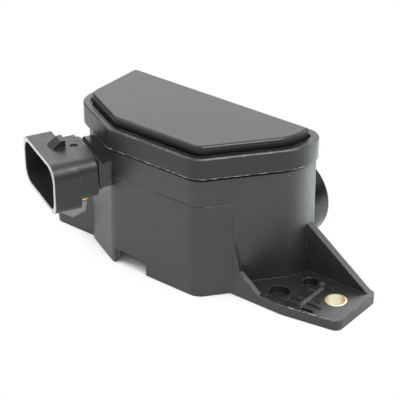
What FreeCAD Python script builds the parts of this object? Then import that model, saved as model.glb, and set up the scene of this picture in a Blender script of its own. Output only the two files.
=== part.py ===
import FreeCAD, Part
import math
import os

V = FreeCAD.Vector

# Mounting: two bolts on the X axis, base on Z = 0, drum side towards +Y.
bolt_spacing = 120.0
bush_outer_r = 4.0
bush_inner_r = 3.3
bush_length = 4.1

# Plan of the housing and cover, seen from above.
plan_front = 25.75
plan_back = 16.2
plan_left = 44.4
plan_right = 40.3
chamfer_start_x = -22.16
chamfer_angle = 26.5
slant_start_x = 17.5
slant_angle = 51.1
body_radii = [8.0, 20.0, 2.4, 4.5, 9.5, 9.0]
cover_radii = [8.0, 20.0, 6.4, 3.0, 9.5, 5.0]
panel_radii = [8.0, 20.0, 4.8, 5.0, 9.5, 6.0]
least_radius = 0.4

# Heights.
ledge_z = 56.3
panel_z = 59.4
skirt_z = 48.4
shoulder_z = 47.3
rim_z = 53.1
floor_z = 9.0
recess_z = 6.5

# Walls and insets from the plan.
body_inset_top = 1.2
body_inset_base = 1.98
body_right_extra = (2.1, 1.0)
chamfer_inset = 1.6
wall = 2.6
cover_wall = 2.2
cover_left_extra = 0.8
cover_back_extra = 1.6
cover_right_extra = 1.2
panel_inset = 3.3
panel_left_extra = 0.6
panel_back_extra = 0.5
panel_right_extra = 0.6
panel_round = 1.2
panel_moat = 0.8
moat_depth = 0.9
ledge_edge = 0.35
seal_thickness = 1.0
front_pad_proud = 0.25
front_pad_z = 36.8

# Notch in the front wall's foot.
notch_x = (-21.6, -6.6)
notch_z = 6.2

# Bolt ears and gussets.
ear_thickness = 3.9
ear_end = 68.5
ear_front = 14.4
ear_back = 13.1
boss_r = 6.2
front_gusset = 1.8
back_gusset = 2.6
back_gusset_y = 10.1

# Connector, in a frame along the chamfer: u to the left, n outward.
plug_datum = 11.97
plug_u = (-13.3, 18.3)
plug_z = (25.8, 44.4)
plug_n = (10.7, 20.8)
plug_radii = [3.2, 5.6, 3.2, 5.6]
lip_wall = 1.05
near_wall = 1.4
mouth_radii = [4.0, 5.1, 4.7, 5.1]
mouth_floor = 1.9
waist_u = (-12.6, 12.6)
waist_z = (29.0, 44.1)
waist_n = 3.9
waist_radii = [3.4, 4.6, 3.2, 5.0]
waist_wall = 1.9
neck_u = (-11.6, 9.8)
neck_z = (32.6, 42.7)
neck_n = 3.2
neck_wall = 1.5
spigot_gap = 0.1
spigot_end_n = -6.0
pin_pitch_u = 4.5
pin_rows_z = (35.5, 39.5)
pin_width = 2.0
pin_thickness = 0.8
pin_tip_n = 14.0
pin_bend_n = -8.0

# Drive hub: axis along Y through this point of the back wall.
hub_x = 22.4
hub_z = 23.9
drum_r = 17.0
drum_wall = 2.2
drum_face_y = 26.0
drum_rim_gap = 0.6
drum_web = 5.5
tang_depth = 1.5
drum_edge = 1.4
shaft_r = 5.0
bearing_r = 6.5
running_gap = 0.05
tube_r = 9.2
tube_inner_y = 5.0
tube_outer_y = 18.5
bore_r = 4.0
bore_depth = 5.0
travel = 50.0
stop_angle = 295.0
stop_r = 0.9
stop_depth = 1.9
spring_r = 12.0
spring_wire = 1.1
spring_turns = 1.25

# Contact rotor and board.
board_y = (-2.6, -1.0)
board_x = (-39.0, 30.8)
board_top = 46.5
track_thickness = 0.1
carrier_y = (1.0, 4.0)
carrier_r = 10.5
stub_r = 3.2
stub_flat = 2.4
brush_angle = 150.0
brush_radii = (5.5, 8.3)

back_face_y = plan_back - body_inset_top
drum_rim_y = back_face_y + drum_rim_gap
stop_ring_r = drum_r - drum_wall / 2.0
stop_groove_y = back_face_y - stop_depth
alpha = math.radians(chamfer_angle)
beta = math.radians(slant_angle)
os.makedirs("parts", exist_ok=True)


def save(shape, name):
    clean = shape.removeSplitter()
    clean.exportStep("parts/" + name + ".step")


def rounded_wire(points, radii):
    # Closed wire through the points, in order, with an arc at each corner that has a radius.
    count = len(points)
    starts = []
    ends = []
    mids = []
    for i in range(count):
        p = points[i]
        a = (points[i - 1] - p).normalize()
        b = (points[(i + 1) % count] - p).normalize()
        r = radii[i]
        if r <= 0:
            starts.append(p)
            ends.append(p)
            mids.append(None)
            continue
        half = a.getAngle(b) / 2.0
        reach = r / math.tan(half)
        bisector = (a + b).normalize()
        centre = p + bisector * (r / math.sin(half))
        starts.append(p + a * reach)
        ends.append(p + b * reach)
        mids.append(centre - bisector * r)
    edges = []
    for i in range(count):
        if mids[i] is not None:
            edges.append(Part.Arc(starts[i], mids[i], ends[i]).toShape())
        j = (i + 1) % count
        if (starts[j] - ends[i]).Length > 1e-6:
            edges.append(Part.makeLine(ends[i], starts[j]))
    return Part.Wire(edges)


def plan_points(inset, z, left_extra, back_extra, right_extra, chamfer_extra):
    chamfer_reach = -math.sin(alpha) * chamfer_start_x + math.cos(alpha) * plan_front
    sides = [
        (0.0, -1.0, plan_front),
        (math.sin(beta), -math.cos(beta), math.sin(beta) * slant_start_x + math.cos(beta) * plan_front),
        (1.0, 0.0, plan_right + right_extra),
        (0.0, 1.0, plan_back + back_extra),
        (-1.0, 0.0, plan_left + left_extra),
        (-math.sin(alpha), -math.cos(alpha), chamfer_reach + chamfer_extra),
    ]
    points = []
    for i in range(len(sides)):
        ax, ay, ad = sides[i]
        bx, by, bd = sides[(i + 1) % len(sides)]
        ad -= inset
        bd -= inset
        det = ax * by - ay * bx
        points.append(V((ad * by - ay * bd) / det, (ax * bd - ad * bx) / det, z))
    return points


def outline(inset, z, base_radii=body_radii, left_extra=0.0, back_extra=0.0, right_extra=0.0, chamfer_extra=0.0):
    # Corner radii shrink with the inset, and further where two arcs would meet on a short side.
    points = plan_points(inset, z, left_extra, back_extra, right_extra, chamfer_extra)
    count = len(points)
    radii = [max(r - inset, least_radius) for r in base_radii]
    slopes = []
    for i in range(count):
        a = points[i - 1] - points[i]
        b = points[(i + 1) % count] - points[i]
        slopes.append(1.0 / math.tan(a.getAngle(b) / 2.0))
    for i in range(count):
        j = (i + 1) % count
        length = 0.95 * (points[j] - points[i]).Length
        used = radii[i] * slopes[i] + radii[j] * slopes[j]
        if used > length:
            big, small = (i, j) if radii[i] > radii[j] else (j, i)
            radii[big] = (length - radii[small] * slopes[small]) / slopes[big]
    return rounded_wire(points, radii)


def prism(inset, low, high, base_radii=body_radii, left_extra=0.0, back_extra=0.0, right_extra=0.0):
    plan = outline(inset, low, base_radii, left_extra, back_extra, right_extra)
    return Part.Face(plan).extrude(V(0, 0, high - low))


def drafted(z, proud=0.0):
    # Section of the walls at one height: back and chamfer are upright, the right side leans less than the rest.
    share = z / shoulder_z
    inset = body_inset_base + (body_inset_top - body_inset_base) * share
    lean = inset - body_inset_top
    right = body_right_extra[0] + (body_right_extra[1] - body_right_extra[0]) * share
    radii = list(body_radii)
    radii[2] += lean
    return outline(inset - proud, z, radii, 0.0, lean, right, inset - chamfer_inset)


def box(x, y, z):
    return Part.makeBox(x[1] - x[0], y[1] - y[0], z[1] - z[0], V(x[0], y[0], z[0]))


def plate_xz(points, y):
    corners = [V(px, y[0], pz) for px, pz in points]
    return Part.Face(Part.makePolygon(corners + corners[:1])).extrude(V(0, y[1] - y[0], 0))


def plate_xy(points, radii, z):
    corners = [V(px, py, z[0]) for px, py in points]
    return Part.Face(rounded_wire(corners, radii)).extrude(V(0, 0, z[1] - z[0]))


def disc(r, y, x=hub_x, z=hub_z):
    return Part.makeCylinder(r, y[1] - y[0], V(x, y[0], z), V(0, 1, 0))


def hub_point(r, angle, y):
    a = math.radians(angle)
    return V(hub_x + r * math.cos(a), y, hub_z + r * math.sin(a))


datum_x = chamfer_start_x - plug_datum * math.cos(alpha)
datum_y = -plan_front + plug_datum * math.sin(alpha)
plug_frame = FreeCAD.Placement(V(datum_x, datum_y, 0), FreeCAD.Rotation(V(0, 0, 1), 180.0 - chamfer_angle))


def plug_block(u, n, z, r=0.0):
    corners = [V(u[0], n[0], z[0]), V(u[1], n[0], z[0]), V(u[1], n[0], z[1]), V(u[0], n[0], z[1])]
    radii = r if isinstance(r, list) else [r] * 4
    shape = Part.Face(rounded_wire(corners, radii)).extrude(V(0, n[1] - n[0], 0))
    shape.Placement = plug_frame
    return shape


def grow(span, by):
    return (span[0] - by, span[1] + by)


# Housing: drafted walls with a shoulder under the cover, ears, gussets, neck and bearing tube.
core = Part.makeLoft([drafted(0), drafted(shoulder_z)], True, True)
rim_inset = cover_wall + 0.1
body = core.fuse(prism(rim_inset, shoulder_z - 1.0, rim_z))

pad_region = box((-plan_left, plan_right), (-40, -ear_front), (0, front_pad_z))
pad_loft = Part.makeLoft([drafted(0, front_pad_proud), drafted(front_pad_z, front_pad_proud)], True, True)
body = body.fuse(pad_loft.common(pad_region))

right_plan = [(18, -ear_front), (46.8, -ear_front), (ear_end, -10.9), (ear_end, ear_back), (18, ear_back)]
left_plan = [(-18, ear_back), (-ear_end, ear_back), (-ear_end, -5.0), (-58.2, -ear_front), (-18, -ear_front)]
body = body.fuse(plate_xy(right_plan, [0, 10, 3.0, 2.0, 0], (0, ear_thickness)))
body = body.fuse(plate_xy(left_plan, [0, 2.0, 5.0, 2.5, 0], (0, ear_thickness)))

front_y = (-ear_front, -ear_front + front_gusset)
back_y = (back_gusset_y, back_gusset_y + back_gusset)
foot = ear_thickness
body = body.fuse(plate_xz([(22.5, 0), (22.5, 32.8), (28.6, 10.2), (36.8, foot), (36.8, 0)], front_y))
body = body.fuse(plate_xz([(-39, 0), (-39, 31), (-40.5, 29), (-44.4, 9.4), (-51.3, foot), (-51.3, 0)], front_y))
body = body.fuse(plate_xz([(35.5, 0), (35.5, 26.7), (66.7, foot), (66.7, 0)], back_y))
body = body.fuse(plate_xz([(-40, 0), (-40, 25.5), (-66.7, foot), (-66.7, 0)], back_y))

body = body.fuse(plug_block(neck_u, (-3.0, neck_n), neck_z))
body = body.fuse(plug_block(grow(neck_u, 0.3), (neck_n - 1.0, neck_n), grow(neck_z, 0.4)))

inner_inset = body_inset_top + wall
cavity = prism(inner_inset, floor_z, rim_z + 5.0)
body = body.cut(cavity)
body = body.cut(prism(body_inset_base + wall - 0.15, -1.0, recess_z))
body = body.cut(box(notch_x, (-40, -plan_front + 8.0), (-1.0, notch_z)))

body = body.fuse(disc(tube_r, (tube_inner_y, tube_outer_y)))
body = body.cut(disc(bearing_r, (tube_inner_y - 1.0, tube_outer_y + 1.0)))

groove_half = stop_r + 0.2
groove_y = (stop_groove_y, back_face_y + 1.0)
groove_ring = disc(stop_ring_r + groove_half, groove_y).cut(disc(stop_ring_r - groove_half, groove_y))
fan = [V(hub_x, groove_y[0], hub_z)]
for step in range(5):
    fan.append(hub_point(drum_r * 2.0, stop_angle - travel * step / 4.0, groove_y[0]))
sector = Part.Face(Part.makePolygon(fan + fan[:1])).extrude(V(0, groove_y[1] - groove_y[0], 0))
body = body.cut(groove_ring.common(sector))
for angle in (stop_angle, stop_angle - travel):
    end = hub_point(stop_ring_r, angle, 0)
    body = body.cut(disc(groove_half, groove_y, end.x, end.z))

window_u = (neck_u[0] + neck_wall, neck_u[1] - neck_wall)
window_z = (neck_z[0] + neck_wall - 0.1, neck_z[1] - neck_wall + 0.1)
body = body.cut(plug_block(window_u, (-8.0, neck_n + 1.0), window_z, 1.0))
body = body.cut(plug_block(grow(neck_u, 2.0), (0.9, 1.7), (neck_z[1] - 0.7, neck_z[1] + 2.0)))

# Shallow pockets round a cross rib, and two round ones, on the right ear.
pocket_top = ear_thickness + 1.0
pocket_floor = ear_thickness - 0.7
front_pocket = ((52.9, 58.0), (-12.0, -10.6))
boss_keep = Part.makeCylinder(boss_r, 20, V(bolt_spacing / 2.0, 0, -5))
pockets = [((38.6, 51.3), (-13.2, -10.7)), ((46.2, 51.3), (-9.6, -7.1)), ((45.2, 51.3), (-5.7, 0.6))]
pockets += [front_pocket, ((52.9, 59.0), (-9.5, -7.1)), ((52.9, 57.5), (-5.7, 5.0))]
for px, py in pockets:
    plan = [(px[0], py[0]), (px[1], py[0]), (px[1], py[1]), (px[0], py[1])]
    low = pocket_floor - 1.0 if (px, py) == front_pocket else pocket_floor
    body = body.cut(plate_xy(plan, [0.5] * 4, (low, pocket_top)).cut(boss_keep))
for px, py, r in ((40.85, -7.5, 3.8), (46.3, 4.3, 2.9)):
    body = body.cut(Part.makeCylinder(r, 4.0, V(px, py, ear_thickness - 3.0)).cut(core))

rib_plan = [(51.4, -10.4), (52.8, -10.4), (52.8, 3.5), (51.4, 3.5)]
knob_plan = [(49.9, 4.3), (51.7, 4.3), (51.7, 6.2), (49.9, 6.2)]
for plan, rise in ((rib_plan, 0.35), (knob_plan, 0.6)):
    body = body.fuse(plate_xy(plan, [0.5] * 4, (pocket_floor, ear_thickness + rise)))

for side in (-1, 1):
    middle = V(side * bolt_spacing / 2.0, 0, -1.0)
    body = body.cut(Part.makeCylinder(bush_outer_r, 20.0, middle))

# Guide ribs for the board: up the left wall, on the floor, and high on the slanted wall.
slot_low = (board_y[0] - 1.6, board_y[0])
slot_high = (board_y[1], board_y[1] + 1.6)
room = prism(inner_inset - 0.5, floor_z - 0.5, rim_z - 3.0)
for ry in (slot_low, slot_high):
    body = body.fuse(box((-plan_left, board_x[0] + 1.8), ry, (floor_z - 0.5, 44.0)).common(room))
    body = body.fuse(box((board_x[1] - 1.8, plan_right), ry, (36.5, 44.0)).common(room))
    for fx in (-20.0, -4.0):
        body = body.fuse(box((fx, fx + 8.0), ry, (floor_z - 0.5, floor_z + 3.0)))
tang_hole = spring_wire + 0.3
hole_at = hub_point(spring_r, 0, 0)
body = body.cut(box((hole_at.x - tang_hole / 2, hole_at.x + tang_hole / 2), (back_face_y - tang_depth - 0.2, back_face_y + 0.5),
                    (hole_at.z - tang_hole / 2, hole_at.z + tang_hole / 2)))
save(body, "housing")

# Cover: skirt with a ledge, and a raised panel.
cover = prism(0.0, skirt_z, ledge_z, cover_radii, cover_left_extra, cover_back_extra, cover_right_extra)
top_edges = [e for e in cover.Edges if abs(e.BoundBox.ZMin - ledge_z) < 1e-4 and abs(e.BoundBox.ZMax - ledge_z) < 1e-4]
cover = cover.makeChamfer(ledge_edge, top_edges)
panel_extras = (panel_left_extra, panel_back_extra, panel_right_extra)
panel = prism(panel_inset, ledge_z - 1.0, panel_z, panel_radii, *panel_extras)
panel_edges = [e for e in panel.Edges if abs(e.BoundBox.ZMin - panel_z) < 1e-4 and abs(e.BoundBox.ZMax - panel_z) < 1e-4]
panel = panel.makeFillet(panel_round, panel_edges)
moat = prism(panel_inset - panel_moat, ledge_z - moat_depth, ledge_z + 1.0, panel_radii, *panel_extras)
cover = cover.cut(moat).fuse(panel)
seat_z = rim_z + seal_thickness
cover = cover.cut(prism(cover_wall, skirt_z - 1.0, seat_z))
cover = cover.cut(prism(panel_inset + cover_wall, seat_z - 0.5, panel_z - cover_wall))
save(cover, "cover")

cover_seal = prism(rim_inset + 0.1, rim_z, seat_z).cut(prism(inner_inset - 0.05, rim_z - 1.0, seat_z + 1.0))
save(cover_seal, "cover_seal")

# Connector shell: mouth collar, narrower waist, spigot, latch ramp and stepped socket.
shell = plug_block(plug_u, plug_n, plug_z, plug_radii)
shell = shell.fuse(plug_block(waist_u, (waist_n, plug_n[0] + 0.5), waist_z, waist_radii))
spigot_u = grow(window_u, -spigot_gap)
spigot_z = grow(window_z, -spigot_gap)
shell = shell.fuse(plug_block(spigot_u, (spigot_end_n, waist_n + 0.5), spigot_z, 1.0 - spigot_gap))
mouth_u = (plug_u[0] + near_wall, plug_u[1] - lip_wall)
mouth_z = grow(plug_z, -lip_wall)
shell = shell.cut(plug_block(mouth_u, (plug_n[0] + mouth_floor, plug_n[1] + 1.0), mouth_z, mouth_radii))
deep_u = grow(waist_u, -waist_wall)
deep_z = grow(waist_z, -waist_wall)
deep_radii = [max(r - waist_wall, 0.6) for r in waist_radii]
shell = shell.cut(plug_block(deep_u, (waist_n + 2.2, plug_n[1]), deep_z, deep_radii))

ramp_u = (1.9, 6.5)
ramp_side = [(16.0, -0.6), (16.0, 0.0), (12.3, 2.8), (10.4, 2.9), (10.4, -0.6)]
ramp_line = [V(ramp_u[0], n, plug_z[1] + rise) for n, rise in ramp_side]
ramp = Part.Face(Part.makePolygon(ramp_line + ramp_line[:1])).extrude(V(ramp_u[1] - ramp_u[0], 0, 0))
ramp.Placement = plug_frame
shell = shell.fuse(ramp)
dimple = Part.makeCylinder(1.5, 3.0, V(2.1, 7.2, waist_z[1] - 0.5))
dimple.Placement = plug_frame
shell = shell.cut(dimple)

# Terminals: flat blades from the socket through the spigot, then straight back to the board.
middle_u = (waist_u[0] + waist_u[1]) / 2.0
number = 0
for row_z in pin_rows_z:
    for column in (-1, 0, 1):
        number += 1
        u = middle_u + column * pin_pitch_u
        half = pin_width / 2.0
        turn = math.tan(alpha / 2.0) * half
        tip = [plug_frame.multVec(V(u + d, n, 0)) for d, n in ((half, pin_tip_n - 1.6), (0.35, pin_tip_n))]
        tip += [plug_frame.multVec(V(u + d, n, 0)) for d, n in ((-0.35, pin_tip_n), (-half, pin_tip_n - 1.6))]
        near = plug_frame.multVec(V(u - half, pin_bend_n + turn, 0))
        far = plug_frame.multVec(V(u + half, pin_bend_n - turn, 0))
        corners = tip + [near, V(near.x, board_y[0], 0), V(far.x, board_y[0], 0), far]
        low = row_z - pin_thickness / 2.0
        corners = [V(c.x, c.y, low) for c in corners]
        blade = Part.Face(Part.makePolygon(corners + corners[:1])).extrude(V(0, 0, pin_thickness))
        shell = shell.cut(blade)
        save(blade, "terminal_%d" % number)
save(shell, "connector_shell")

connector_seal = plug_block(grow(neck_u, -0.5), (neck_n, waist_n), grow(neck_z, -0.4))
connector_seal = connector_seal.cut(plug_block(window_u, (neck_n - 1.0, waist_n + 1.0), window_z, 1.0))
save(connector_seal, "connector_seal")

# Brass sleeves of the bolt ears.
for name, side in (("left_bush", -1), ("right_bush", 1)):
    middle = V(side * bolt_spacing / 2.0, 0, 0)
    bush = Part.makeCylinder(bush_outer_r, bush_length, middle)
    bush = bush.cut(Part.makeCylinder(bush_inner_r, bush_length + 2.0, middle - V(0, 0, 1)))
    save(bush, name)

# Drive hub: hollow drum, shaft and stop peg in one moulding.
web_y = drum_face_y - drum_web
shoulder_y = tube_outer_y + 0.1
drum = disc(drum_r, (drum_rim_y, drum_face_y))
face_rim = [e for e in drum.Edges if e.BoundBox.YLength < 1e-6 and e.BoundBox.YMin > drum_face_y - 1e-6]
drum = drum.makeChamfer(drum_edge, face_rim)
drum = drum.cut(disc(drum_r - drum_wall, (drum_rim_y - 1.0, web_y)))
drum = drum.fuse(disc(tube_r - 0.2, (shoulder_y, web_y + 0.5)))
washer_y = (carrier_y[1], tube_inner_y - 0.1)
drum = drum.fuse(disc(shaft_r, (washer_y[1], web_y + 0.5)))
stub = disc(stub_r, (carrier_y[0], washer_y[1]))
stub = stub.cut(box((hub_x - 9, hub_x + 9), (carrier_y[0] - 1, washer_y[1] + 1), (hub_z + stub_flat, hub_z + 9)))
drum = drum.fuse(stub)
peg = hub_point(stop_ring_r, stop_angle, 0)
drum = drum.fuse(disc(stop_r, (stop_groove_y + 0.4, drum_rim_y + 0.5), peg.x, peg.z))
drum = drum.cut(disc(bore_r, (drum_face_y - bore_depth, drum_face_y + 1.0)))
slot = (drum_face_y - bore_depth + 1.0, drum_face_y + 1.0)
drum = drum.cut(box((hub_x - 6.5, hub_x + 6.5), slot, (hub_z - 1.25, hub_z + 1.25)))
tang_end_y = web_y + 2.0
far_hole = hub_point(spring_r, -360.0 * spring_turns, 0)
drum = drum.cut(box((far_hole.x - tang_hole / 2, far_hole.x + tang_hole / 2), (web_y - 0.5, tang_end_y + 0.2),
                    (far_hole.z - tang_hole / 2, far_hole.z + tang_hole / 2)))
save(drum, "drive_hub")

bearing = disc(bearing_r, (tube_inner_y, tube_outer_y - 3.0)).cut(disc(shaft_r + running_gap, (0, 30)))
save(bearing, "hub_bearing")
seal = disc(bearing_r, (tube_outer_y - 3.0, tube_outer_y)).cut(disc(shaft_r + running_gap, (0, 30)))
save(seal, "hub_seal")

save(disc(shaft_r + 3.0, washer_y).cut(stub), "end_washer")

# Return spring: square wire, wound round the bearing tube, with one tang at each end.
first_y = back_face_y + spring_wire / 2.0
last_y = web_y - 0.1 - spring_wire / 2.0
coil_height = last_y - first_y
pitch = coil_height / spring_turns
h = spring_wire / 2.0
rails = []
for radius, lift in ((spring_r - h, -h), (spring_r + h, -h), (spring_r + h, h), (spring_r - h, h)):
    rail = Part.makeHelix(pitch, coil_height, radius)
    rail.translate(V(0, 0, lift))
    rails.append(rail.Edges[0])
sides = [Part.makeRuledSurface(rails[i], rails[(i + 1) % 4]) for i in range(4)]
for end in (0, 1):
    corners = [rail.Vertexes[0 if end == 0 else -1].Point for rail in rails]
    sides.append(Part.Face(Part.makePolygon(corners + corners[:1])))
coil_shell = Part.Shell(sides)
coil_shell.sewShape()
coil = Part.Solid(coil_shell)
coil.rotate(V(0, 0, 0), V(1, 0, 0), -90)
coil.translate(V(hub_x, first_y, hub_z))
near_tang = hub_point(spring_r, 0, 0)
coil = coil.fuse(box((near_tang.x - h, near_tang.x + h), (back_face_y - tang_depth, first_y + h), (near_tang.z - h, near_tang.z + h)))
coil_end = hub_point(spring_r, -360.0 * spring_turns, 0)
coil = coil.fuse(box((coil_end.x - h, coil_end.x + h), (last_y - h, tang_end_y), (coil_end.z - h, coil_end.z + h)))
save(coil, "return_spring")

# Contact rotor on the shaft's end.
arm = [V(-3.6, carrier_y[0], 0), V(3.0, carrier_y[0], 0), V(3.6, carrier_y[0], carrier_r), V(-4.4, carrier_y[0], carrier_r)]
carrier = Part.Face(rounded_wire(arm, [0, 0, 1.0, 1.0])).extrude(V(0, carrier_y[1] - carrier_y[0], 0))
carrier.rotate(V(0, 0, 0), V(0, 1, 0), 90.0 - brush_angle)
carrier.translate(V(hub_x, 0, hub_z))
carrier = carrier.fuse(disc(stub_r + 2.0, carrier_y)).cut(stub)
save(carrier, "wiper_carrier")

tip_y = board_y[1] + track_thickness + 0.05
for index, radius in enumerate(brush_radii):
    plate = box((-3.0, 1.9), (carrier_y[0] - 0.35, carrier_y[0]), (radius - 1.0, radius + 1.0))
    for offset in (-0.75, 0.0, 0.75):
        line = [(1.4, carrier_y[0]), (1.4, carrier_y[0] - 0.35), (5.4, tip_y), (6.1, tip_y + 0.3)]
        line += [(6.0, tip_y + 0.5), (5.4, tip_y + 0.28), (2.1, carrier_y[0])]
        corners = [V(px, py, radius + offset - 0.25) for px, py in line]
        plate = plate.fuse(Part.Face(Part.makePolygon(corners + corners[:1])).extrude(V(0, 0, 0.5)))
    plate.rotate(V(0, 0, 0), V(0, 1, 0), 90.0 - brush_angle)
    plate.translate(V(hub_x, 0, hub_z))
    save(plate, "wiper_brush_%d" % (index + 1))

# Board with its two printed tracks.
board = box(board_x, board_y, (floor_z, board_top))
save(board, "track_board")
for index, radius in enumerate(brush_radii):
    reach = math.hypot(radius, 5.4)
    track_y = (board_y[1], board_y[1] + track_thickness)
    ring = disc(reach + 0.95, track_y).cut(disc(reach - 0.95, track_y))
    fan = [V(hub_x, track_y[0], hub_z)]
    for step in range(7):
        fan.append(hub_point(40.0, 45.0 + 14.0 * step, track_y[0]))
    wedge = Part.Face(Part.makePolygon(fan + fan[:1])).extrude(V(0, track_thickness, 0))
    save(ring.common(wedge), "track_%d" % (index + 1))
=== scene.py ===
import bpy
import math
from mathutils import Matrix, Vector


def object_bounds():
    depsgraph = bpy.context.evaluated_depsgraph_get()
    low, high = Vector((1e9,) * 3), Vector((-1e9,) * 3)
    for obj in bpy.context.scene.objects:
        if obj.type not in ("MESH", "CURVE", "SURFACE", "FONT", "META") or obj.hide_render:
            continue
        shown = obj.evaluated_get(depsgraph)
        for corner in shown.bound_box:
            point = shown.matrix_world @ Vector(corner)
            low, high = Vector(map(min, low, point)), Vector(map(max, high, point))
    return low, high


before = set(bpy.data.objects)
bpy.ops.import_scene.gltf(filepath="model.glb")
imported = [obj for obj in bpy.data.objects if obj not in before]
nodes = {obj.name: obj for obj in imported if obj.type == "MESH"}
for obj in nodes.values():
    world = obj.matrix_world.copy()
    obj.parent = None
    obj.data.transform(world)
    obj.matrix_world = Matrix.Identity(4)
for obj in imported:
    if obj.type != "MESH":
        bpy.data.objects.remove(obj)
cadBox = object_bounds()
print("frame loaded,", len(nodes), "nodes")

# helpers for building node trees
gridStep = (210, -190)
noiseSpan = (0.3, 0.7)
unitSpan = (0.0, 1.0)
mixSockets = {"inputs": (0, 6, 7), "result": 2}


def put(tree, kind, column, row, values=None, **settings):
    node = tree.nodes.new(kind)
    node.location = (column * gridStep[0], row * gridStep[1])
    for key, value in settings.items():
        setattr(node, key, value)
    for key, value in (values or {}).items():
        node.inputs[key].default_value = value
    return node


def feed(tree, sockets, terms):
    # a term is another socket, which is linked, or a plain value
    for socket, term in zip(sockets, terms):
        if isinstance(term, bpy.types.NodeSocket):
            tree.links.new(term, socket)
        else:
            socket.default_value = term


def maths(tree, column, row, operation, *terms, clamp=False):
    node = put(tree, "ShaderNodeMath", column, row, operation=operation, use_clamp=clamp)
    feed(tree, node.inputs, terms)
    return node.outputs[0]


def mapped(tree, column, row, source, fromSpan, toSpan=unitSpan):
    node = put(tree, "ShaderNodeMapRange", column, row)
    feed(tree, node.inputs, (source, *fromSpan, *toSpan))
    return node.outputs["Result"]


def mixColour(tree, column, row, factor, first, second):
    node = put(tree, "ShaderNodeMix", column, row, data_type="RGBA")
    feed(tree, [node.inputs[index] for index in mixSockets["inputs"]], (factor, first, second))
    return node.outputs[mixSockets["result"]]


def scaled(colour, by=1.0):
    return (colour[0] * by, colour[1] * by, colour[2] * by, 1.0)


def newGroup(name, inputs, outputs):
    group = bpy.data.node_groups.new(name, "ShaderNodeTree")
    for label, kind, default in inputs:
        socket = group.interface.new_socket(name=label, in_out="INPUT", socket_type=kind)
        socket.default_value = default
    for label in outputs:
        kind = "NodeSocketVector" if label == "Normal" else "NodeSocketFloat"
        group.interface.new_socket(name=label, in_out="OUTPUT", socket_type=kind)
    start = put(group, "NodeGroupInput", -2, 0)
    end = put(group, "NodeGroupOutput", 8, 0)
    return group, start, end


# fine spark-eroded grain of a moulded part, with slow patches of shade and gloss
grainValues = {"pitShare": 0.35, "glossScale": 320.0}


def makeMouldGrain(values):
    group, start, end = newGroup(
        "mouldGrain",
        [("Grain Scale", "NodeSocketFloat", 3200.0), ("Patch Scale", "NodeSocketFloat", 70.0)],
        ["Height", "Patch", "Gloss"])
    link = group.links.new
    place = put(group, "ShaderNodeTexCoord", -1, 1)
    fine = put(group, "ShaderNodeTexNoise", 1, 0, {"Detail": 3.0, "Roughness": 0.62})
    pits = put(group, "ShaderNodeTexVoronoi", 1, 1, {"Randomness": 1.0}, feature="SMOOTH_F1")
    patch = put(group, "ShaderNodeTexNoise", 1, 2, {"Detail": 4.0, "Roughness": 0.55})
    gloss = put(group, "ShaderNodeTexNoise", 1, 3, {"Scale": values["glossScale"], "Detail": 2.0})
    for texture in (fine, pits, patch, gloss):
        link(place.outputs["Object"], texture.inputs["Vector"])
    for texture in (fine, pits):
        link(start.outputs["Grain Scale"], texture.inputs["Scale"])
    link(start.outputs["Patch Scale"], patch.inputs["Scale"])
    pitted = maths(group, 2, 0, "MULTIPLY", pits.outputs["Distance"], values["pitShare"])
    link(maths(group, 3, 0, "ADD", pitted, fine.outputs["Fac"]), end.inputs["Height"])
    link(patch.outputs["Fac"], end.inputs["Patch"])
    link(gloss.outputs["Fac"], end.inputs["Gloss"])
    return group


# rounded edge normal, a broken light line on outer edges that is partly wear chips and partly a painted edge
# highlight, and painted shade in inner corners
edgeValues = {"turnSpan": (0.992, 0.9), "openSpan": (0.45, 0.7), "cornerSpan": (0.8, 0.35),
              "cornerReach": 0.0016, "chipSharpness": 18.0, "samples": 6}


def makeEdgeLine(values):
    group, start, end = newGroup(
        "edgeLine",
        [("Radius", "NodeSocketFloat", 0.0003), ("Break Scale", "NodeSocketFloat", 260.0),
         ("Break Level", "NodeSocketFloat", 0.45), ("Faint", "NodeSocketFloat", 0.15)],
        ["Normal", "Line", "Corner"])
    link = group.links.new
    bevel = put(group, "ShaderNodeBevel", 0, 0, samples=values["samples"])
    flat = put(group, "ShaderNodeNewGeometry", 0, 1)
    turn = put(group, "ShaderNodeVectorMath", 1, 0, operation="DOT_PRODUCT")
    shade = put(group, "ShaderNodeAmbientOcclusion", 0, 2, {"Distance": values["cornerReach"]},
                samples=values["samples"])
    place = put(group, "ShaderNodeTexCoord", 0, 3)
    chips = put(group, "ShaderNodeTexNoise", 1, 3, {"Detail": 3.0, "Roughness": 0.7})
    link(start.outputs["Radius"], bevel.inputs["Radius"])
    link(bevel.outputs["Normal"], turn.inputs[0])
    link(flat.outputs["Normal"], turn.inputs[1])
    link(place.outputs["Object"], chips.inputs["Vector"])
    link(start.outputs["Break Scale"], chips.inputs["Scale"])
    edge = mapped(group, 2, 0, turn.outputs["Value"], values["turnSpan"])
    outer = mapped(group, 2, 1, shade.outputs["AO"], values["openSpan"])
    # painted shade: inner corners found by ambient occlusion are marked for darkening
    inner = mapped(group, 2, 2, shade.outputs["AO"], values["cornerSpan"])
    # the line breaks into wear chips, while its faint floor is a painted edge highlight along the whole edge
    gaps = maths(group, 2, 3, "SUBTRACT", chips.outputs["Fac"], start.outputs["Break Level"])
    sharp = maths(group, 3, 3, "MULTIPLY", gaps, values["chipSharpness"], clamp=True)
    broken = maths(group, 4, 3, "MAXIMUM", sharp, start.outputs["Faint"])
    whole = maths(group, 4, 0, "MULTIPLY", edge, outer)
    link(bevel.outputs["Normal"], end.inputs["Normal"])
    link(maths(group, 5, 0, "MULTIPLY", whole, broken, clamp=True), end.inputs["Line"])
    link(inner, end.inputs["Corner"])
    return group


# scattered dust specks and short hair scuffs
dustValues = {"rareShare": 0.8, "hairTurn": (0.0, 0.0, 0.7), "hairStretch": (1400.0, 40.0, 40.0),
              "hairSharpness": 6.0}


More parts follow.
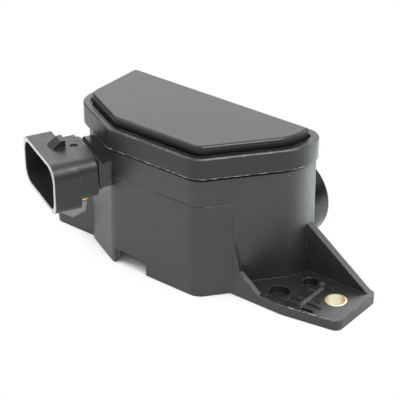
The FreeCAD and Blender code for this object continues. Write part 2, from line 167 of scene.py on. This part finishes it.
def makeDust(values):
    group, start, end = newGroup(
        "dustAndScuffs",
        [("Speck Scale", "NodeSocketFloat", 240.0), ("Speck Size", "NodeSocketFloat", 0.06),
         ("Scuff Level", "NodeSocketFloat", 0.74)],
        ["Specks", "Scuffs"])
    link = group.links.new
    place = put(group, "ShaderNodeTexCoord", -1, 1)
    cells = put(group, "ShaderNodeTexVoronoi", 1, 0, {"Randomness": 1.0})
    few = put(group, "ShaderNodeSeparateColor", 2, 1)
    lay = put(group, "ShaderNodeMapping", 1, 3, {
        "Rotation": values["hairTurn"], "Scale": values["hairStretch"]})
    hairs = put(group, "ShaderNodeTexNoise", 2, 3, {"Scale": 1.0, "Detail": 2.0, "Roughness": 0.8})
    link(place.outputs["Object"], cells.inputs["Vector"])
    link(start.outputs["Speck Scale"], cells.inputs["Scale"])
    link(cells.outputs["Color"], few.inputs["Color"])
    link(place.outputs["Object"], lay.inputs["Vector"])
    link(lay.outputs["Vector"], hairs.inputs["Vector"])
    near = maths(group, 2, 0, "LESS_THAN", cells.outputs["Distance"], start.outputs["Speck Size"])
    rare = maths(group, 3, 1, "GREATER_THAN", few.outputs["Red"], values["rareShare"])
    thin = maths(group, 3, 3, "SUBTRACT", hairs.outputs["Fac"], start.outputs["Scuff Level"])
    link(maths(group, 4, 0, "MULTIPLY", near, rare), end.inputs["Specks"])
    link(maths(group, 4, 3, "MULTIPLY", thin, values["hairSharpness"], clamp=True), end.inputs["Scuffs"])
    return group


# drawn or turned lines on bare metal, with slow patches of tarnish
def makeMetalLines():
    group, start, end = newGroup(
        "metalLines", [("Stretch", "NodeSocketVector", (200.0, 200.0, 4000.0))], ["Lines", "Tarnish"])
    link = group.links.new
    place = put(group, "ShaderNodeTexCoord", -1, 1)
    lay = put(group, "ShaderNodeVectorMath", 0, 0, operation="MULTIPLY")
    lines = put(group, "ShaderNodeTexNoise", 1, 0, {"Scale": 1.0, "Detail": 3.0, "Roughness": 0.6})
    tarnish = put(group, "ShaderNodeTexNoise", 1, 1, {"Scale": 380.0, "Detail": 4.0, "Roughness": 0.65})
    link(place.outputs["Object"], lay.inputs[0])
    link(start.outputs["Stretch"], lay.inputs[1])
    link(lay.outputs["Vector"], lines.inputs["Vector"])
    link(place.outputs["Object"], tarnish.inputs["Vector"])
    link(lines.outputs["Fac"], end.inputs["Lines"])
    link(tarnish.outputs["Fac"], end.inputs["Tarnish"])
    return group


mouldGrain = makeMouldGrain(grainValues)
edgeLine = makeEdgeLine(edgeValues)
dustAndScuffs = makeDust(dustValues)
metalLines = makeMetalLines()
print("shared effects built")


# finishes
def placeGroup(tree, group, column, row, values):
    node = put(tree, "ShaderNodeGroup", column, row)
    node.node_tree = group
    for key, value in values.items():
        node.inputs[key].default_value = value
    return node


def startMaterial(name):
    material = bpy.data.materials.new(name)
    material.use_nodes = True
    tree = material.node_tree
    tree.nodes.clear()
    shader = put(tree, "ShaderNodeBsdfPrincipled", 8, 0)
    out = put(tree, "ShaderNodeOutputMaterial", 10, 0)
    tree.links.new(shader.outputs["BSDF"], out.inputs["Surface"])
    return material, tree, shader


def addBump(tree, shader, height, normal, look):
    bump = put(tree, "ShaderNodeBump", 6, 3, {
        "Strength": look["bumpStrength"], "Distance": look["bumpDepth"]})
    tree.links.new(height, bump.inputs["Height"])
    tree.links.new(normal, bump.inputs["Normal"])
    tree.links.new(bump.outputs["Normal"], shader.inputs["Normal"])


def mouldedFinish(name, look):
    material, tree, shader = startMaterial(name)
    link = tree.links.new
    grain = placeGroup(tree, mouldGrain, 0, 0, {
        "Grain Scale": look["grainScale"], "Patch Scale": look["patchScale"]})
    edges = placeGroup(tree, edgeLine, 0, 1, {
        "Radius": look["edgeRadius"], "Break Scale": look["edgeBreak"], "Break Level": look["edgeLevel"],
        "Faint": look["edgeFaint"]})
    dust = placeGroup(tree, dustAndScuffs, 0, 2, {
        "Speck Size": look["speckSize"], "Scuff Level": look["scuffLevel"]})

    darkest = scaled(look["colour"], 1.0 - look["patchDepth"])
    lightest = scaled(look["colour"], 1.0 + look["patchDepth"])
    tone = mixColour(tree, 3, 0, mapped(tree, 2, 0, grain.outputs["Patch"], noiseSpan), darkest, lightest)

    place = put(tree, "ShaderNodeTexCoord", 0, 4)
    parts = put(tree, "ShaderNodeSeparateXYZ", 1, 4)
    link(place.outputs["Object"], parts.inputs["Vector"])
    # light edge line: wear chips with a painted edge highlight, its share set by height
    share = mapped(tree, 2, 4, parts.outputs["Z"], look["edgeBand"], look["edgeShare"])
    line = maths(tree, 3, 1, "MULTIPLY", edges.outputs["Line"], share)
    tone = mixColour(tree, 4, 0, line, tone, scaled(look["edgeColour"]))

    # painted shade darkens the finish in inner corners
    corner = maths(tree, 4, 1, "MULTIPLY", edges.outputs["Corner"], look["cornerShare"])
    tone = mixColour(tree, 5, 0, corner, tone, scaled(look["colour"], look["cornerShade"]))

    marks = maths(tree, 4, 2, "MAXIMUM", dust.outputs["Specks"], dust.outputs["Scuffs"])
    marks = maths(tree, 5, 2, "MULTIPLY", marks, look["dustShare"])
    tone = mixColour(tree, 6, 0, marks, tone, scaled(look["edgeColour"], look["dustShade"]))

    link(tone, shader.inputs["Base Color"])
    link(mapped(tree, 5, 3, grain.outputs["Gloss"], noiseSpan, look["roughness"]), shader.inputs["Roughness"])
    addBump(tree, shader, grain.outputs["Height"], edges.outputs["Normal"], look)
    shader.inputs["IOR"].default_value = look["ior"]
    return material


def layOver(material, share, look):
    # another colour and roughness over the finish so far
    tree = material.node_tree
    shader = tree.nodes["Principled BSDF"]
    colour = shader.inputs["Base Color"].links[0].from_socket
    roughness = shader.inputs["Roughness"].links[0].from_socket
    tone = mixColour(tree, 7, 0, share, colour, scaled(look["colour"]))
    rough = mapped(tree, 7, 5, share, unitSpan, (roughness, look["roughness"]))
    tree.links.new(tone, shader.inputs["Base Color"])
    tree.links.new(rough, shader.inputs["Roughness"])


def paintBand(material, look):
    # a band where the distance along one direction lies past a start
    tree = material.node_tree
    place = put(tree, "ShaderNodeTexCoord", 4, 5)
    along = put(tree, "ShaderNodeVectorMath", 5, 5, {1: look["along"]}, operation="DOT_PRODUCT")
    tree.links.new(place.outputs["Object"], along.inputs[0])
    layOver(material, mapped(tree, 6, 5, along.outputs["Value"], look["span"]), look)


def wearAndShadeBox(material, look):
    # a broken colour over the faces inside one box, whose axes are turned about Z; it carries wear, and also
    # painted shade
    tree = material.node_tree
    link = tree.links.new
    place = put(tree, "ShaderNodeTexCoord", -1, 7)
    turned = put(tree, "ShaderNodeMapping", 0, 7, {"Rotation": (0.0, 0.0, look["turn"])})
    offset = put(tree, "ShaderNodeVectorMath", 1, 7, {1: look["centre"]}, operation="SUBTRACT")
    size = put(tree, "ShaderNodeVectorMath", 2, 7, operation="ABSOLUTE")
    parts = put(tree, "ShaderNodeSeparateXYZ", 3, 7)
    scuff = put(tree, "ShaderNodeTexNoise", 3, 8, {"Scale": look["scale"], "Detail": 4.0, "Roughness": 0.7})
    link(place.outputs["Object"], turned.inputs["Vector"])
    link(turned.outputs["Vector"], offset.inputs[0])
    link(offset.outputs["Vector"], size.inputs[0])
    link(size.outputs["Vector"], parts.inputs["Vector"])
    link(place.outputs["Object"], scuff.inputs["Vector"])
    share = mapped(tree, 4, 8, scuff.outputs["Fac"], noiseSpan, look["share"])
    for row, axis in enumerate("XYZ"):
        within = maths(tree, 4, 9 + row, "LESS_THAN", parts.outputs[axis], look["half"][row])
        share = maths(tree, 5, 9 + row, "MULTIPLY", within, share)
    layOver(material, share, look)


def metalFinish(name, look):
    material, tree, shader = startMaterial(name)
    link = tree.links.new
    lines = placeGroup(tree, metalLines, 0, 0, {"Stretch": look["stretch"]})
    edges = placeGroup(tree, edgeLine, 0, 1, {"Radius": look["edgeRadius"]})
    tone = mixColour(tree, 3, 0, lines.outputs["Tarnish"], scaled(look["colour"]), scaled(look["tarnish"]))
    link(tone, shader.inputs["Base Color"])
    link(mapped(tree, 5, 3, lines.outputs["Lines"], noiseSpan, look["roughness"]), shader.inputs["Roughness"])
    addBump(tree, shader, lines.outputs["Lines"], edges.outputs["Normal"], look)
    shader.inputs["Metallic"].default_value = 1.0
    return material


def paintedBoreReflection(material, look):
    # the upright faces of a sleeve are painted pale as a painted reflection, paler than its turned ends, and
    # painted shade makes them browner towards two sides along a fixed direction
    tree = material.node_tree
    link = tree.links.new
    shader = tree.nodes["Principled BSDF"]
    brass = shader.inputs["Base Color"].links[0].from_socket
    face = put(tree, "ShaderNodeNewGeometry", 4, 5)
    parts = put(tree, "ShaderNodeSeparateXYZ", 5, 5)
    across = put(tree, "ShaderNodeVectorMath", 5, 6, {1: look["across"]}, operation="DOT_PRODUCT")
    link(face.outputs["Normal"], parts.inputs["Vector"])
    link(face.outputs["Normal"], across.inputs[0])
    upright = maths(tree, 6, 5, "COMPARE", parts.outputs["Z"], 0.0, look["uprightWithin"])
    aside = maths(tree, 6, 6, "ABSOLUTE", across.outputs["Value"])
    paintedSideShade = mapped(tree, 7, 6, aside, look["sideShadeSpan"])
    bore = mixColour(tree, 8, 6, paintedSideShade, scaled(look["colour"]), scaled(look["paintedSideShade"]))
    link(mixColour(tree, 7, 0, upright, brass, bore), shader.inputs["Base Color"])
    link(mapped(tree, 7, 5, upright, unitSpan, (1.0, look["metallic"])), shader.inputs["Metallic"])


def dress(names, material):
    for name in names:
        mesh = nodes[name].data
        mesh.materials.clear()
        mesh.materials.append(material)


# housing, with painted shadow in a band under the lid, a rib top painted lighter and a painted dark band on
# the neck standing for a shaded groove, and with chips along the front edge of the right ear
housingLook = {
    "colour": (0.022, 0.0235, 0.023), "patchDepth": 0.12, "patchScale": 60.0,
    "grainScale": 2600.0, "bumpStrength": 0.18, "bumpDepth": 0.00004, "roughness": (0.28, 0.325), "ior": 1.62,
    "edgeRadius": 0.0003, "edgeBreak": 330.0, "edgeLevel": 0.5, "edgeFaint": 0.08,
    "edgeColour": (0.9, 0.91, 0.9), "edgeShare": (0.28, 0.1), "edgeBand": (0.006, 0.02),
    "cornerShare": 0.6, "cornerShade": 0.25,
    "speckSize": 0.05, "scuffLevel": 0.78, "dustShare": 0.16, "dustShade": 0.8,
}
plugTurn = math.radians(26.5)
earTurn = math.radians(-9.16)
# painted shadow: the housing is near black from just under the lid's lower edge upwards
lidShadowLook = {"along": (0.0, 0.0, 1.0), "span": (0.0468, 0.0471),
           "colour": (0.001, 0.001, 0.001), "roughness": 0.95}
# the top of the raised rib on the right ear is painted lighter, in broken patches
ribLook = {"turn": 0.0, "centre": (0.05135, -0.0021, 0.00428), "half": (0.0016, 0.0084, 0.00034),
           "scale": 700.0, "share": (0.25, 0.95), "colour": (0.13, 0.135, 0.13), "roughness": 0.4}
# painted shade: a near-black band on the neck's top stands for the shaded groove next to the wall
neckShadeLook = {"turn": plugTurn, "centre": (-0.01941, -0.03413, 0.0427), "half": (0.0108, 0.0011, 0.0004),
            "scale": 400.0, "share": (0.8, 1.0), "colour": (0.002, 0.002, 0.002), "roughness": 0.9}
chipLook = {"turn": earTurn, "centre": (0.054, -0.02167, 0.0039), "half": (0.0102, 0.00027, 0.00027),
            "scale": 1100.0, "share": (-0.9, 1.3), "colour": (0.6, 0.605, 0.6), "roughness": 0.45}
housingPlastic = mouldedFinish("housingPlastic", housingLook)
paintBand(housingPlastic, lidShadowLook)
for look in (ribLook, neckShadeLook, chipLook):
    wearAndShadeBox(housingPlastic, look)
dress(["housing"], housingPlastic)

# cover, whose light edge line of wear chips and painted highlight is strongest along its lower edge
coverLook = dict(housingLook, colour=(0.014, 0.0152, 0.0146), patchScale=45.0, roughness=(0.29, 0.33),
                 ior=1.52, edgeRadius=0.0005, edgeLevel=0.47, edgeFaint=0.2, edgeColour=(0.95, 0.96, 0.95),
                 edgeShare=(1.0, 0.34), edgeBand=(0.05, 0.055), dustShare=0.45)
dress(["cover"], mouldedFinish("coverPlastic", coverLook))

# connector shell, with a pale rim round its mouth that is a painted highlight
shellLook = dict(housingLook, colour=(0.018, 0.019, 0.0185), roughness=(0.36, 0.46), ior=1.56,
                 bumpStrength=0.3, edgeShare=(0.25, 0.25))
# the plug points out of the slanted wall, and its mouth lies plugReach from that wall's front corner
plugAlong = Vector((-math.sin(plugTurn), -math.cos(plugTurn), 0.0))
plugCorner = Vector((-0.02216, -0.02575, 0.0))
plugReach = 0.0208
rimDepth = (0.0003, 0.00008)
plugMouth = plugCorner.dot(plugAlong) + plugReach
# painted highlight: a thin pale band at the mouth's front edge
rimHighlightLook = {"along": plugAlong, "span": (plugMouth - rimDepth[0], plugMouth - rimDepth[1]),
           "colour": (0.5, 0.505, 0.495), "roughness": 0.45}
shellPlastic = mouldedFinish("connectorPlastic", shellLook)
paintBand(shellPlastic, rimHighlightLook)
dress(["connector_shell"], shellPlastic)

# drive drum, polished
drumLook = dict(housingLook, colour=(0.006, 0.006, 0.0065), roughness=(0.2, 0.26), ior=1.22,
                bumpStrength=0.08, edgeShare=(0.07, 0.07), speckSize=0.04, dustShare=0.08)
dress(["drive_hub"], mouldedFinish("drumPlastic", drumLook))

# rubber seals
sealLook = dict(housingLook, colour=(0.018, 0.018, 0.018), roughness=(0.6, 0.75), bumpStrength=0.5,
                edgeShare=(0.06, 0.06))
dress(["cover_seal", "connector_seal", "hub_seal"], mouldedFinish("sealRubber", sealLook))

# bearing sleeve and contact rotor
bearingLook = dict(housingLook, colour=(0.62, 0.58, 0.48), roughness=(0.35, 0.45),
                   edgeColour=(0.8, 0.77, 0.7), edgeShare=(0.3, 0.3))
dress(["hub_bearing"], mouldedFinish("bearingPlastic", bearingLook))
carrierLook = dict(bearingLook, colour=(0.42, 0.38, 0.3))
dress(["wiper_carrier"], mouldedFinish("carrierPlastic", carrierLook))

# board and its printed tracks
boardLook = dict(housingLook, colour=(0.035, 0.13, 0.05), roughness=(0.3, 0.4), grainScale=1800.0,
                 edgeLevel=0.2, edgeColour=(0.5, 0.48, 0.3), edgeShare=(0.8, 0.8))
dress(["track_board"], mouldedFinish("boardLaminate", boardLook))
trackLook = dict(housingLook, colour=(0.02, 0.02, 0.022), roughness=(0.45, 0.6), grainScale=5200.0,
                 edgeShare=(0.06, 0.06))
dress(["track_1", "track_2"], mouldedFinish("trackCarbon", trackLook))

# brass sleeves
brassLook = {"colour": (1.0, 0.9, 0.68), "tarnish": (0.94, 0.76, 0.48), "stretch": (150.0, 150.0, 5200.0),
             "roughness": (0.28, 0.34), "bumpStrength": 0.1, "bumpDepth": 0.00003, "edgeRadius": 0.00025}
# the right sleeve's bore gets a painted reflection: pale upright faces, with painted shade browner towards
# two sides
boreReflectionLook = {"colour": (1.0, 0.97, 0.8), "paintedSideShade": (0.72, 0.43, 0.14), "across": (0.788, 0.6157, 0.0),
            "sideShadeSpan": (0.5, 1.0), "uprightWithin": 0.5, "metallic": 0.1}
sleeveBrass = metalFinish("sleeveBrass", brassLook)
paintedBoreReflection(sleeveBrass, boreReflectionLook)
dress(["right_bush"], sleeveBrass)
dullLook = dict(brassLook, colour=(0.5, 0.31, 0.13), tarnish=(0.42, 0.25, 0.1), roughness=(0.34, 0.46))
dress(["left_bush"], metalFinish("sleeveBrassDull", dullLook))

# terminals, contact strips, spring and washer
tinLook = dict(brassLook, colour=(0.74, 0.73, 0.7), tarnish=(0.55, 0.54, 0.5), stretch=(900.0, 900.0, 3000.0))
dress(["terminal_%d" % number for number in range(1, 7)], metalFinish("terminalTin", tinLook))
stripLook = dict(brassLook, colour=(0.86, 0.7, 0.38), tarnish=(0.74, 0.55, 0.25),
                 stretch=(2600.0, 2600.0, 2600.0))
dress(["wiper_brush_1", "wiper_brush_2"], metalFinish("stripBronze", stripLook))
steelLook = dict(brassLook, colour=(0.56, 0.56, 0.56), tarnish=(0.4, 0.39, 0.37),
                 stretch=(1500.0, 3600.0, 1500.0))
dress(["return_spring"], metalFinish("springSteel", steelLook))
washerLook = dict(steelLook, stretch=(1200.0, 1200.0, 1200.0))
dress(["end_washer"], metalFinish("washerSteel", washerLook))
print("finishes placed on", sum(1 for node in nodes.values() if node.data.materials), "nodes")


# a camera or a lamp, set at its place and looking at its aim
def placeAimed(name, data, look):
    item = bpy.data.objects.new(name, data)
    place = Vector(look["place"])
    item.location = place
    item.rotation_euler = (Vector(look["aim"]) - place).to_track_quat("-Z", "Y").to_euler()
    bpy.context.scene.collection.objects.link(item)
    return item


# camera
cameraLook = {"place": (0.29698, -0.3807, 0.30069), "aim": (0.0, -0.00064, 0.02352), "lens": 137.07,
              "sensor": 36.0, "clip": (0.01, 20.0)}


def makeCamera(look):
    data = bpy.data.cameras.new("photoCamera")
    data.lens = look["lens"]
    data.sensor_width = look["sensor"]
    data.clip_start, data.clip_end = look["clip"]
    bpy.context.scene.camera = placeAimed("photoCamera", data, look)


makeCamera(cameraLook)
print("camera set")

# floor, white to the camera apart from the shade near the part, and partly glowing in reflections
floorLook = {"half": 4.0, "drop": 0.0002, "colour": (0.865, 0.89, 0.878), "shadowReach": 0.03,
             "shadowSpan": (0.24, 0.55), "seen": (1.0, 1.0, 1.0), "mirrored": (0.95, 1.0, 0.975),
             "mirrorShare": 0.65, "shadowSamples": 12}


def makeFloor(look):
    mesh = bpy.data.meshes.new("studioFloor")
    h = look["half"]
    z = cadBox[0][2] - look["drop"]
    mesh.from_pydata([(-h, -h, z), (h, -h, z), (h, h, z), (-h, h, z)], [], [(0, 1, 2, 3)])
    floor = bpy.data.objects.new("studioFloor", mesh)
    bpy.context.scene.collection.objects.link(floor)
    material = bpy.data.materials.new("floorWhite")
    material.use_nodes = True
    tree = material.node_tree
    tree.nodes.clear()
    link = tree.links.new
    rays = put(tree, "ShaderNodeLightPath", 0, 0)
    paper = put(tree, "ShaderNodeBsdfDiffuse", 3, 0, {"Color": scaled(look["colour"])})
    glow = put(tree, "ShaderNodeEmission", 3, 1, {"Strength": 1.0})
    shade = put(tree, "ShaderNodeAmbientOcclusion", 0, 2, {"Distance": look["shadowReach"]},
                samples=look["shadowSamples"])
    mix = put(tree, "ShaderNodeMixShader", 4, 0)
    out = put(tree, "ShaderNodeOutputMaterial", 5, 0)
    seen = rays.outputs["Is Camera Ray"]
    tone = mixColour(tree, 2, 1, seen, scaled(look["mirrored"]), scaled(look["seen"]))
    clear = mapped(tree, 1, 2, shade.outputs["AO"], look["shadowSpan"])
    seenGlow = maths(tree, 2, 2, "MULTIPLY", seen, clear)
    mirrorGlow = maths(tree, 2, 0, "MULTIPLY", rays.outputs["Is Glossy Ray"], look["mirrorShare"])
    link(maths(tree, 3, 2, "ADD", seenGlow, mirrorGlow), mix.inputs["Fac"])
    link(tone, glow.inputs["Color"])
    link(paper.outputs["BSDF"], mix.inputs[1])
    link(glow.outputs["Emission"], mix.inputs[2])
    link(mix.outputs["Shader"], out.inputs["Surface"])
    mesh.materials.append(material)


makeFloor(floorLook)
print("floor laid")

# soft boxes; the two with a narrow spread light one patch of floor each, for a wall to mirror
lampColour = (0.97, 1.0, 0.975)
lampLook = {
    "backBox": {"place": (-0.48, 0.61, 0.5), "aim": (0.0, 0.0, 0.05), "size": 0.8, "power": 3.5},
    "topBox": {"place": (0.38, -0.08, 0.65), "aim": (0.0, 0.0, 0.03), "size": 0.22, "power": 2.6},
    "leftBox": {"place": (-0.16, -0.15, 0.2), "aim": (-0.095, -0.065, 0.0), "size": 0.1, "power": 0.06,
                "spread": 55.0},
    "sideBox": {"place": (0.105, 0.135, 0.2), "aim": (0.08, 0.085, 0.0), "size": 0.09, "power": 0.2,
                "spread": 20.0},
    "rightBox": {"place": (0.6, 0.71, 0.47), "aim": (0.0, 0.0, 0.03), "size": 0.5, "power": 2.0},
}


def makeLamp(name, look):
    data = bpy.data.lights.new(name, "AREA")
    data.shape = "SQUARE"
    data.size = look["size"]
    data.energy = look["power"]
    data.color = lampColour
    if "spread" in look:
        data.spread = math.radians(look["spread"])
    lamp = placeAimed(name, data, look)
    lamp.visible_camera = False


for name, look in lampLook.items():
    makeLamp(name, look)

# sky, white to the camera and darker near the horizon in reflections
skyLook = {"fill": (0.7, 0.72, 0.71), "seen": (1.0, 1.0, 1.0), "low": (0.16, 0.165, 0.163),
           "high": (0.93, 0.96, 0.94), "band": (0.25, 0.65)}


def makeSky(look):
    world = bpy.data.worlds.new("studioSky")
    world.use_nodes = True
    tree = world.node_tree
    tree.nodes.clear()
    link = tree.links.new
    fill = put(tree, "ShaderNodeBackground", 3, 0, {"Color": scaled(look["fill"]), "Strength": 1.0})
    seen = put(tree, "ShaderNodeBackground", 3, 1, {"Color": scaled(look["seen"]), "Strength": 1.0})
    mirrored = put(tree, "ShaderNodeBackground", 3, 2, {"Strength": 1.0})
    rays = put(tree, "ShaderNodeLightPath", 0, 0)
    aim = put(tree, "ShaderNodeTexCoord", 0, 2)
    parts = put(tree, "ShaderNodeSeparateXYZ", 1, 2)
    first = put(tree, "ShaderNodeMixShader", 4, 0)
    second = put(tree, "ShaderNodeMixShader", 5, 0)
    out = put(tree, "ShaderNodeOutputWorld", 6, 0)
    link(aim.outputs["Generated"], parts.inputs["Vector"])
    height = mapped(tree, 2, 2, parts.outputs["Z"], look["band"])
    link(mixColour(tree, 2, 3, height, scaled(look["low"]), scaled(look["high"])), mirrored.inputs["Color"])
    link(rays.outputs["Is Glossy Ray"], first.inputs["Fac"])
    link(fill.outputs["Background"], first.inputs[1])
    link(mirrored.outputs["Background"], first.inputs[2])
    link(rays.outputs["Is Camera Ray"], second.inputs["Fac"])
    link(first.outputs["Shader"], second.inputs[1])
    link(seen.outputs["Background"], second.inputs[2])
    link(second.outputs["Shader"], out.inputs["Surface"])
    bpy.context.scene.world = world


makeSky(skyLook)
bpy.context.scene.view_settings.view_transform = "Standard"
print("lights set")
